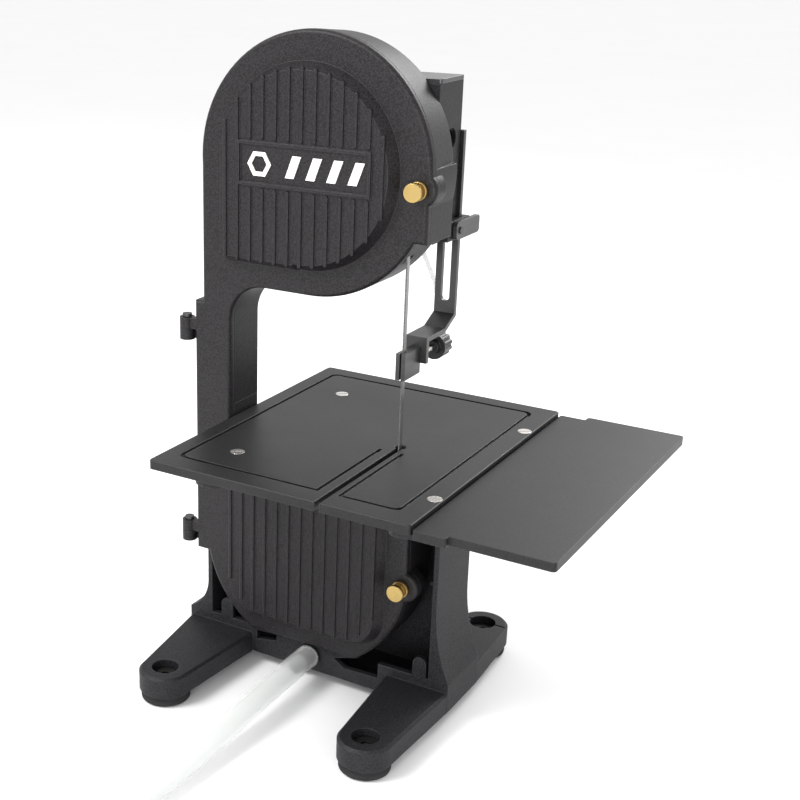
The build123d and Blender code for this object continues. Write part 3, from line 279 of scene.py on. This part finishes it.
def blade_metal(name):
    """Thin rolled steel, bright across its width, with fine lengthwise marks."""
    f = Finish(name)
    marks = f.noise(scale=1400.0, detail=2.0, where=f.stretched((1.0, 1.0, 0.04)))
    film = f.noise(scale=55.0, detail=4.0)
    f.set("Base Color", f.mix(film.step(low=0.4, high=0.75) * 0.5, grey(0.30), grey(0.15, 0.05)))
    f.set("Metallic", 1.0)
    f.set("Roughness", 0.3 + marks * 0.2)
    f.set("Normal", f.relief(marks, FINE_RELIEF))
    return f.material


def grit_metal(name):
    """Plated diamond grit: sharp sparkling grains in a dull nickel bed."""
    f = Finish(name)
    grains = f.cells(scale=2600.0)
    f.set("Base Color", f.mix(grains.step(low=0.15, high=0.6), grey(0.5), grey(0.12, 0.1)))
    f.set("Metallic", 0.8)
    f.set("Roughness", 0.35 + grains * 0.4)
    f.set("Normal", f.relief(grains, 0.0002))
    return f.material


def floor_paint(name):
    """Pale seamless floor with the faintest mottle."""
    f = Finish(name, Specular_IOR_Level=0.1)
    mottle = f.noise(scale=3.0, detail=3.0)
    f.set("Base Color", f.mix(mottle, grey(0.93), grey(0.96)))
    f.set("Roughness", 0.8 + mottle * 0.1)
    return f.material


# ---- mesh helpers ------------------------------------------------------------------------------
def add_piece(name, mesh, material, body, smooth=True):
    piece = bpy.data.objects.new(name, mesh)
    bpy.context.scene.collection.objects.link(piece)
    mesh.materials.append(material)
    for face in mesh.polygons:
        face.use_smooth = smooth
    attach(piece, body)
    return piece


def loops_to_mesh(name, loops, closed_ring=False):
    """Skin a list of equal rings of points. Each ring is closed; the ends join if closed_ring."""
    bm = bmesh.new()
    rings = [[bm.verts.new(p) for p in loop] for loop in loops]
    pairs = list(zip(rings, rings[1:]))
    if closed_ring:
        pairs.append((rings[-1], rings[0]))
    for a, b in pairs:
        count = len(a)
        for i in range(count):
            j = (i + 1) % count
            bm.faces.new((a[i], a[j], b[j], b[i]))
    if not closed_ring:
        bm.faces.new(list(reversed(rings[0])))
        bm.faces.new(rings[-1])
    bmesh.ops.recalc_face_normals(bm, faces=bm.faces)
    mesh = bpy.data.meshes.new(name)
    bm.to_mesh(mesh)
    bm.free()
    return mesh


def lathe(name, profile, centre, axis, steps=64):
    """Turn a closed profile of (radius, height) points round an axis through centre."""
    turn = Vector((0, 0, 1)).rotation_difference(Vector(axis)).to_matrix()
    loops = []
    for i in range(steps):
        a = math.tau * i / steps
        loops.append([Vector(centre) + turn @ Vector((r * math.cos(a), r * math.sin(a), h))
                      for r, h in profile])
    return loops_to_mesh(name, loops, closed_ring=True)


def route_line(name, points, resolution=24):
    """The smooth line of a route, from its own NURBS spline."""
    data = bpy.data.curves.new(name + "_route", "CURVE")
    data.dimensions = "3D"
    data.resolution_u = resolution
    spline = data.splines.new("NURBS")
    spline.points.add(len(points) - 1)
    for knot, point in zip(spline.points, points):
        knot.co = (*point, 1.0)
    spline.order_u = 3
    spline.use_endpoint_u = True
    holder = bpy.data.objects.new(name + "_route", data)
    bpy.context.scene.collection.objects.link(holder)
    bpy.context.view_layer.update()
    traced = bpy.data.meshes.new_from_object(holder)
    line = [v.co.copy() for v in traced.vertices]
    bpy.data.objects.remove(holder)
    bpy.data.meshes.remove(traced)
    bpy.data.curves.remove(data)
    return line


def tube_mesh(name, line, outer, inner, sides=40):
    """A tube with a real wall along a line, its ends closed by flat rings."""
    bm = bmesh.new()
    sideways = Vector((1, 0, 0))
    rings = []
    for i, point in enumerate(line):
        along = (line[min(i + 1, len(line) - 1)] - line[max(i - 1, 0)]).normalized()
        up = along.cross(sideways).normalized()
        across = up.cross(along).normalized()
        pair = []
        for r in (outer, inner):
            pair.append([bm.verts.new(point + (across * math.cos(a) + up * math.sin(a)) * r)
                         for a in (math.tau * k / sides for k in range(sides))])
        rings.append(pair)
    for a, b in zip(rings, rings[1:]):
        for wall in (0, 1):
            for k in range(sides):
                n = (k + 1) % sides
                bm.faces.new((a[wall][k], a[wall][n], b[wall][n], b[wall][k]))
    for pair in (rings[0], rings[-1]):
        for k in range(sides):
            n = (k + 1) % sides
            bm.faces.new((pair[0][k], pair[0][n], pair[1][n], pair[1][k]))
    bmesh.ops.recalc_face_normals(bm, faces=bm.faces)
    mesh = bpy.data.meshes.new(name)
    bm.to_mesh(mesh)
    bm.free()
    return mesh


# ---- settings ----------------------------------------------------------------------------------
class CordSizes(bpy.types.PropertyGroup):
    hose_wall: bpy.props.FloatProperty(
        name="Hose wall", description="Wall of the drain hose", default=2.5 * MM, min=0.0005,
        unit="LENGTH")
    tube_wall: bpy.props.FloatProperty(
        name="Tube wall", description="Wall of the drip tube", default=0.9 * MM, min=0.0002,
        unit="LENGTH")
    sides: bpy.props.IntProperty(
        name="Sides", description="Sides of each tube's ring", default=40, min=12)


class FinishSettings(bpy.types.PropertyGroup):
    cover: bpy.props.FloatVectorProperty(
        name="Cover", description="Colour of the front cover", subtype="COLOR", size=4,
        default=(0.0115, 0.0102, 0.0112, 1.0))
    housing: bpy.props.FloatVectorProperty(
        name="Frame", description="Colour of the frame and base", subtype="COLOR", size=4,
        default=(0.0105, 0.0105, 0.0118, 1.0))
    table: bpy.props.FloatVectorProperty(
        name="Table", description="Colour of the table and its extension", subtype="COLOR", size=4,
        default=(0.0095, 0.0095, 0.010, 1.0))
    brass: bpy.props.FloatVectorProperty(
        name="Brass", description="Colour of the thumb screws", subtype="COLOR", size=4,
        default=(0.56, 0.40, 0.15, 1.0))
    emblem: bpy.props.FloatVectorProperty(
        name="Emblem", description="Colour of the emblem", subtype="COLOR", size=4,
        default=(0.86, 0.86, 0.84, 1.0))


class TurnedSizes(bpy.types.PropertyGroup):
    knurls: bpy.props.IntProperty(
        name="Knurls", description="Ridges round each thumb screw", default=36, min=8)
    knurl_depth: bpy.props.FloatProperty(
        name="Knurl depth", description="How deep the knurling is", default=0.35 * MM, min=0.0,
        unit="LENGTH")
    thread_pitch: bpy.props.FloatProperty(
        name="Thread pitch", description="Pitch of the drawn threads", default=0.8 * MM,
        min=0.0002, unit="LENGTH")


class StageSettings(bpy.types.PropertyGroup):
    key_power: bpy.props.FloatProperty(
        name="Key light", description="Power of the key light", default=24.0, min=0.0,
        unit="POWER")
    fill_power: bpy.props.FloatProperty(
        name="Fill light", description="Power of the fill light", default=12.0, min=0.0,
        unit="POWER")
    rim_power: bpy.props.FloatProperty(
        name="Rim light", description="Power of the light behind", default=20.0, min=0.0,
        unit="POWER")
    lens: bpy.props.FloatProperty(
        name="Lens", description="Focal length of the camera", default=61.9, min=1.0,
        unit="CAMERA")


GROUPS = {"saw_cords": CordSizes, "saw_finishes": FinishSettings, "saw_turned": TurnedSizes,
          "saw_stage": StageSettings}


# ---- finishes ----------------------------------------------------------------------------------
def finish_table(s):
    """Every material, and the nodes that it goes on."""
    cover, housing, table = tuple(s.cover), tuple(s.housing), tuple(s.table)
    return [
        (moulded("cover_moulding", cover), ("front_cover",)),
        (moulded("frame_moulding", housing),
         ("upper_frame", "lower_housing", "table_frame", "guide_bracket")),
        (moulded("base_moulding", tint(housing, 1.1), rough=0.5), ("base",)),
        (moulded("table_moulding", table, grain=1700.0, depth=0.00007, rough=0.36, level=0.3),
         ("table", "extension_table")),
        (moulded("motor_moulding", tint(housing, 0.9), rough=0.5), ("motor_cover",)),
        (smooth_plastic("lid_moulding", grey(0.03), rough=0.22, level=0.8), ("reservoir_lid",)),
        (smooth_plastic("knob_moulding", grey(0.014)),
         ("tension_knob", "guide_knob", "drip_valve_knob", "switch_housing", "rocker_switch",
          "power_inlet", "drain_spout")),
        (smooth_plastic("emblem_print", tuple(s.emblem), rough=0.35, edge=0.0002),
         ("cover_badge",)),
        (metal("turned_brass", tuple(s.brass), rough=0.22, scale=1600.0),
         ("upper_thumb_screw", "lower_thumb_screw", "drip_valve")),
        (metal("nickel_plate", grey(0.72, 0.04), rough=0.18),
         ("table_screws", "extension_screws", "upper_axle_nut", "lower_wheel_nut", "guide_screw",
          "guide_nut")),
        (metal("ground_steel", grey(0.42), rough=0.3, grain=(1.0, 0.1, 1.0)),
         ("upper_axle", "lower_shaft", "motor_shaft", "upper_bearings", "lower_bearings",
          "column_splice", "carriage_cover", "motor_mount", "tension_rod")),
        (metal("blackened_steel", grey(0.10), rough=0.38),
         ("frame_screws", "motor_screws", "motor_cover_screws", "hinge_pins")),
        (metal("spring_steel", grey(0.35), rough=0.25), ("tension_spring",)),
        (metal("washer_steel", grey(0.06, 0.03), rough=0.45), ("foot_washers",)),
        (metal("cast_aluminium", grey(0.5), rough=0.36, scale=420.0, stain=0.35),
         ("upper_wheel", "lower_wheel", "tension_carriage", "driven_pulley", "motor_pulley")),
        (metal("motor_casing", grey(0.34), rough=0.42, scale=300.0), ("motor",)),
        (smooth_plastic("black_painted_bar", grey(0.016), rough=0.3, edge=0.0004, level=0.7),
         ("guide_bar", "guide_block", "guide_clamp_lever", "lower_blade_guide")),
        (blade_metal("blade_steel"), ("blade",)),
        (rubbery("foot_rubber", grey(0.016)), ("foot_pads",)),
        (rubbery("tyre_rubber", grey(0.05, -0.05), rough=0.6), ("upper_tyre", "lower_tyre")),
        (rubbery("belt_rubber", grey(0.02), rough=0.65), ("drive_belt",)),
        (clear_moulding("tank_moulding", (0.78, 0.84, 0.86, 1.0), 0.4), ("reservoir",)),
        (clear_tube("clear_vinyl", (0.80, 0.82, 0.82, 1.0), 0.03, 0.42),
         ("drain_hose", "drip_tube")),
    ]


def dress(node, material):
    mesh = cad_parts[node].data
    if not mesh.materials:
        mesh.materials.append(material)
    for i in range(len(mesh.materials)):
        mesh.materials[i] = material


class SAW_OT_finishes(bpy.types.Operator):
    """Give every part of the saw its finish"""
    bl_idname = "saw.finishes"
    bl_label = "Finishes"

    def execute(self, context):
        for material, nodes in finish_table(context.scene.saw_finishes):
            for node in nodes:
                dress(node, material)
        return {"FINISHED"}


# ---- hoses -------------------------------------------------------------------------------------
class SAW_OT_drain_hose(bpy.types.Operator):
    """Lay the clear drain hose from the spout over the floor"""
    bl_idname = "saw.drain_hose"
    bl_label = "Drain hose"

    def execute(self, context):
        s = context.scene.saw_cords
        route = [Vector(p) * MM for p in (
            (-7, -21.4, 22.5), (-7, -81.4, 22.5), (-10, -156.4, 13.5), (-14, -241.4, 9.6),
            (-14, -331.4, 9.6), (-1, -421.4, 9.6), (23, -506.4, 9.6))]
        line = route_line("drain_hose", route)
        outer = HOSE_RADIUS
        mesh = tube_mesh("drain_tube", line, outer, outer - s.hose_wall, s.sides)
        vinyl = bpy.data.materials["clear_vinyl"]
        piece = add_piece("drain_tube", mesh, vinyl, "root")
        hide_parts("drain_hose")
        return {"FINISHED"}


class SAW_OT_drip_tube(bpy.types.Operator):
    """Hang the drip tube from the water valve"""
    bl_idname = "saw.drip_tube"
    bl_label = "Drip tube"

    def execute(self, context):
        s = context.scene.saw_cords
        route = [Vector(p) * MM for p in (
            (32, 35.5, 421), (32, 35.5, 397), (34, 48.5, 371), (40, 60.5, 345), (49, 65, 321),
            (55, 65.5, 301))]
        line = route_line("drip_tube", route)
        outer = DRIP_TUBE_RADIUS
        mesh = tube_mesh("water_tube", line, outer, outer - s.tube_wall, DRIP_TUBE_SIDES)
        vinyl = bpy.data.materials["clear_vinyl"]
        piece = add_piece("water_tube", mesh, vinyl, "root")
        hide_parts("drip_tube")
        return {"FINISHED"}


# ---- turned parts ------------------------------------------------------------------------------
def knurled_ring(name, centre, r, y0, y1, ridges, depth):
    """A ring with fine straight ridges round its rim."""
    loops = []
    steps_per_ridge = 4
    steps = ridges * steps_per_ridge
    round_off = 0.25 * MM
    inner = r - 1.6 * MM
    for i in range(steps):
        a = math.tau * i / steps
        rim = r - depth * (0.5 + 0.5 * math.cos(ridges * a))
        profile = [(rim - round_off, y0), (rim, y0 + round_off), (rim, y1 - round_off),
                   (rim - round_off, y1), (inner, y1), (inner, y0)]
        loops.append([Vector((centre.x + q * math.cos(a), y, centre.z + q * math.sin(a)))
                      for q, y in profile])
    return loops_to_mesh(name, loops, closed_ring=True)


class SAW_OT_thumb_knurls(bpy.types.Operator):
    """Knurl the front and rear discs of both brass thumb screws"""
    bl_idname = "saw.thumb_knurls"
    bl_label = "Thumb screw knurls"

    def execute(self, context):
        s = context.scene.saw_turned
        brass = bpy.data.materials["turned_brass"]
        for body, node in (("upper_thumb", "upper_thumb_screw"),
                           ("lower_thumb", "lower_thumb_screw")):
            centre = middle(node)
            front = corners(node)[0].y
            for part, y0, y1 in THUMB_DISCS:
                mesh = knurled_ring(node + "_" + part, centre, THUMB_RADIUS + s.knurl_depth,
                                    front + y0 * MM, front + y1 * MM, s.knurls, s.knurl_depth)
                add_piece(node + "_" + part, mesh, brass, body)
        return {"FINISHED"}


def thread_mesh(name, start, axis, length, r, pitch, steps=28):
    """A helical ridge of triangular section wound on a rod."""
    turn = Vector((0, 0, 1)).rotation_difference(Vector(axis)).to_matrix()
    count = int(length / pitch * steps)
    ridge = pitch * 0.36
    height = ridge * 0.75
    root = r - 0.1 * MM
    loops = []
    for i in range(count + 1):
        a = math.tau * i / steps
        h = pitch * i / steps
        fade = min(1.0, i / steps, (count - i) / steps)
        ring = [(root, h - ridge), (r + height * fade, h), (root, h + ridge)]
        loops.append([Vector(start) + turn @ Vector((q * math.cos(a), q * math.sin(a), z))
                      for q, z in ring])
    return loops_to_mesh(name, loops)


class SAW_OT_screw_threads(bpy.types.Operator):
    """Cut the thread that shows on the guide screw"""
    bl_idname = "saw.screw_threads"
    bl_label = "Screw threads"

    def execute(self, context):
        s = context.scene.saw_turned
        steel = bpy.data.materials["nickel_plate"]
        nut, knob = corners("guide_nut"), corners("guide_knob")
        centre = middle("guide_screw")
        start = Vector((centre.x, nut[1].y + 0.6 * MM, centre.z))
        length = knob[0].y - start.y - 0.8 * MM
        screw_radius = 2.5 * MM
        mesh = thread_mesh("guide_thread", start, (0, 1, 0), length, screw_radius, s.thread_pitch)
        add_piece("guide_thread", mesh, steel, "guide_knob_set")
        return {"FINISHED"}


class SAW_OT_foot_pads(bpy.types.Operator):
    """Mould the rubber feet with a rounded tread and a waist"""
    bl_idname = "saw.foot_pads"
    bl_label = "Foot pads"

    def execute(self, context):
        low, high = corners("foot_pads")
        r, top = 19.5 * MM, 9 * MM
        hole, sleeve, sleeve_top = 3.5 * MM, 5.9 * MM, 17.8 * MM
        rubber = bpy.data.materials["foot_rubber"]
        tread = [(hole, 0.0), (r - 2.4 * MM, 0.0), (r - 1.2 * MM, 0.35 * MM),
                 (r - 0.35 * MM, 1.2 * MM), (r, 2.4 * MM), (r, 4.4 * MM)]
        waist = [(r - 0.8 * MM, 5.2 * MM), (r - 1.0 * MM, 5.8 * MM), (r - 0.8 * MM, 6.4 * MM)]
        collar = [(r - 0.4 * MM, 6.9 * MM), (r - 0.4 * MM, 8.2 * MM), (r - 1.1 * MM, top)]
        neck = [(sleeve, top), (sleeve, sleeve_top), (hole, sleeve_top)]
        places = [(x, y) for x in (low.x + r, high.x - r) for y in (low.y + r, high.y - r)]
        for i, (x, y) in enumerate(places):
            name = "foot_pad_" + str(i + 1)
            mesh = lathe(name, tread + waist + collar + neck, (x, y, low.z), (0, 0, 1), 72)
            piece = add_piece(name, mesh, rubber, "root")
            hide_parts("foot_pads")
        return {"FINISHED"}


class SAW_OT_blade_grit(bpy.types.Operator):
    """Plate the blade's front edge with its band of grit"""
    bl_idname = "saw.blade_grit"
    bl_label = "Blade grit"

    def execute(self, context):
        low, high = corners("blade")
        r_out = (high.x - low.x) / 2
        thick, over, wide = 0.6 * MM, 0.07 * MM, 1.3 * MM
        cx, z0, z1 = (low.x + high.x) / 2, low.z + r_out, high.z - r_out
        front = low.y - 0.12 * MM
        shoulder = front + 0.1 * MM
        inside, outside = r_out - thick - over, r_out + over
        section = [(inside, front + wide), (inside, shoulder), (r_out - thick / 2, front),
                   (outside, shoulder), (outside, front + wide)]
        steps = 48
        loops = []
        for centre_z, begin in ((z1, 0.0), (z0, math.pi)):
            hub = Vector((cx, 0, centre_z))
            for k in range(steps + 1):
                a = begin + math.pi * k / steps
                out = Vector((math.cos(a), 0, math.sin(a)))
                loops.append([hub + out * q + Vector((0, y, 0)) for q, y in section])
        grit = grit_metal("diamond_grit")
        add_piece("blade_grit", loops_to_mesh("blade_grit", loops, closed_ring=True), grit, "root",
                  smooth=False)
        return {"FINISHED"}


# ---- stage -------------------------------------------------------------------------------------
def area_light(name, place, aim, power, size, colour=(1.0, 1.0, 1.0)):
    data = bpy.data.lights.new(name, "AREA")
    data.energy = power
    data.shape = "DISK"
    data.size = size
    data.color = colour
    light = bpy.data.objects.new(name, data)
    light.location = place
    light.rotation_euler = (Vector(aim) - Vector(place)).to_track_quat("-Z", "Y").to_euler()
    bpy.context.scene.collection.objects.link(light)
    return light


class SAW_OT_stage(bpy.types.Operator):
    """Lay the pale floor, hang the soft lights and stand the camera"""
    bl_idname = "saw.stage"
    bl_label = "Stage"

    def execute(self, context):
        s = context.scene.saw_stage
        half, z = FLOOR_HALF, FLOOR_HEIGHT
        mesh = bpy.data.meshes.new("studio_floor")
        rim = [(-half, -half, z), (half, -half, z), (half, half, z), (-half, half, z)]
        mesh.from_pydata(rim, [], [(0, 1, 2, 3)])
        floor = bpy.data.objects.new("studio_floor", mesh)
        mesh.materials.append(floor_paint("floor_paint"))
        context.scene.collection.objects.link(floor)
        world = bpy.data.worlds.new("studio_world")
        world.use_nodes = True
        backdrop = world.node_tree.nodes["Background"]
        backdrop.inputs["Color"].default_value = (1.0, 1.0, 1.0, 1.0)
        backdrop.inputs["Strength"].default_value = 1.0
        context.scene.world = world
        context.scene.view_settings.view_transform = "Standard"
        area_light("key", (-0.7, -1.0, 1.5), LIGHT_AIM, s.key_power, 0.7)
        area_light("fill", (0.5, -1.7, 0.4), (0.0, 0.0, 0.1), s.fill_power, 1.0,
                   (0.97, 0.98, 1.0))
        area_light("rim", (0.3, 1.5, 1.3), LIGHT_AIM, s.rim_power, 0.9)
        data = bpy.data.cameras.new("camera")
        data.lens = s.lens
        data.sensor_width = SENSOR_WIDTH
        data.shift_x, data.shift_y = CAMERA_SHIFT
        camera = bpy.data.objects.new("camera", data)
        camera.location = CAMERA_PLACE
        camera.rotation_euler = (math.radians(90 - CAMERA_TILT), 0.0, math.radians(CAMERA_TURN))
        context.scene.collection.objects.link(camera)
        context.scene.camera = camera
        return {"FINISHED"}


class SAW_PT_looks(bpy.types.Panel):
    bl_label = "Trim saw"
    bl_idname = "SAW_PT_looks"
    bl_space_type = "VIEW_3D"
    bl_region_type = "UI"
    bl_category = "Trim Saw"

    def draw(self, context):
        for key, group in GROUPS.items():
            box = self.layout.box()
            for prop in group.__annotations__:
                box.prop(getattr(context.scene, key), prop)
        for operator in OPERATORS:
            self.layout.operator(operator.bl_idname)


OPERATORS = (SAW_OT_finishes, SAW_OT_drain_hose, SAW_OT_drip_tube, SAW_OT_thumb_knurls,
             SAW_OT_screw_threads, SAW_OT_foot_pads, SAW_OT_blade_grit, SAW_OT_stage)


def register():
    for group in GROUPS.values():
        bpy.utils.register_class(group)
    for key, group in GROUPS.items():
        setattr(bpy.types.Scene, key, bpy.props.PointerProperty(type=group))
    for cls in OPERATORS + (SAW_PT_looks,):
        bpy.utils.register_class(cls)


def unregister():
    for cls in reversed(OPERATORS + (SAW_PT_looks,)):
        bpy.utils.unregister_class(cls)
    for key, group in GROUPS.items():
        delattr(bpy.types.Scene, key)
        bpy.utils.unregister_class(group)


def main():
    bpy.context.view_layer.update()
    register()
    for operator in OPERATORS:
        family, action = operator.bl_idname.split(".")
        getattr(getattr(bpy.ops, family), action)()


if __name__ == "__main__":
    main()
